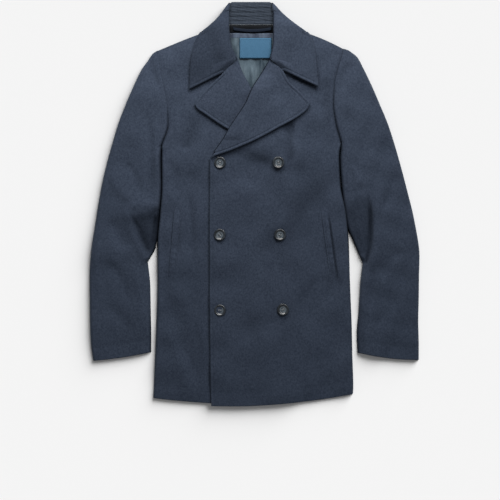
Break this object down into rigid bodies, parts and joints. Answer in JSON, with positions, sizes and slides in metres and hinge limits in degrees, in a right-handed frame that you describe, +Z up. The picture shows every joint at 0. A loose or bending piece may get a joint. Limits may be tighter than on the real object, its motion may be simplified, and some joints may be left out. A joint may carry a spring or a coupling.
{
  "type": "pea coat",
  "caption": "Double-breasted wool pea coat with wide lapels, notched collar and slanted welt pockets, laid flat on its back and buttoned up.",
  "frame": {"origin": "middle of the coat's outline, on the surface it lies on", "axes": "+X towards the wearer's left side, +Y from the hem up to the collar, +Z up from the surface, out of the chest"},
  "size_m": [0.677, 0.8273, 0.0262],
  "materials": {
    "melton": "brushed melton wool with a short nap, matte",
    "melton_inside": "wool, quilted in rows of stitching on the stand",
    "satin_lining": "satin twill lining with a low sheen",
    "woven_label": "woven label cloth, bare",
    "loop_tape": "black woven tape",
    "horn_button": "moulded, dark grey-green, low polish"
  },
  "bodies": {
    "root": {"back": "melton", "front_right": "melton", "front_left": "melton", "lapel_right": "melton", "lapel_left": "melton", "collar": "melton", "sleeve_left_top": "melton", "sleeve_left_under": "melton", "sleeve_right_top": "melton", "sleeve_right_under": "melton", "pocket_welt_left": "melton", "pocket_welt_right": "melton", "collar_stand": "melton_inside", "neck_facing": "melton_inside", "lining": "satin_lining", "label": "woven_label", "hanger_loop": "loop_tape", "button_1": "horn_button", "button_2": "horn_button", "button_3": "horn_button", "button_4": "horn_button", "button_5": "horn_button", "button_6": "horn_button"}
  },
  "joints": []
}
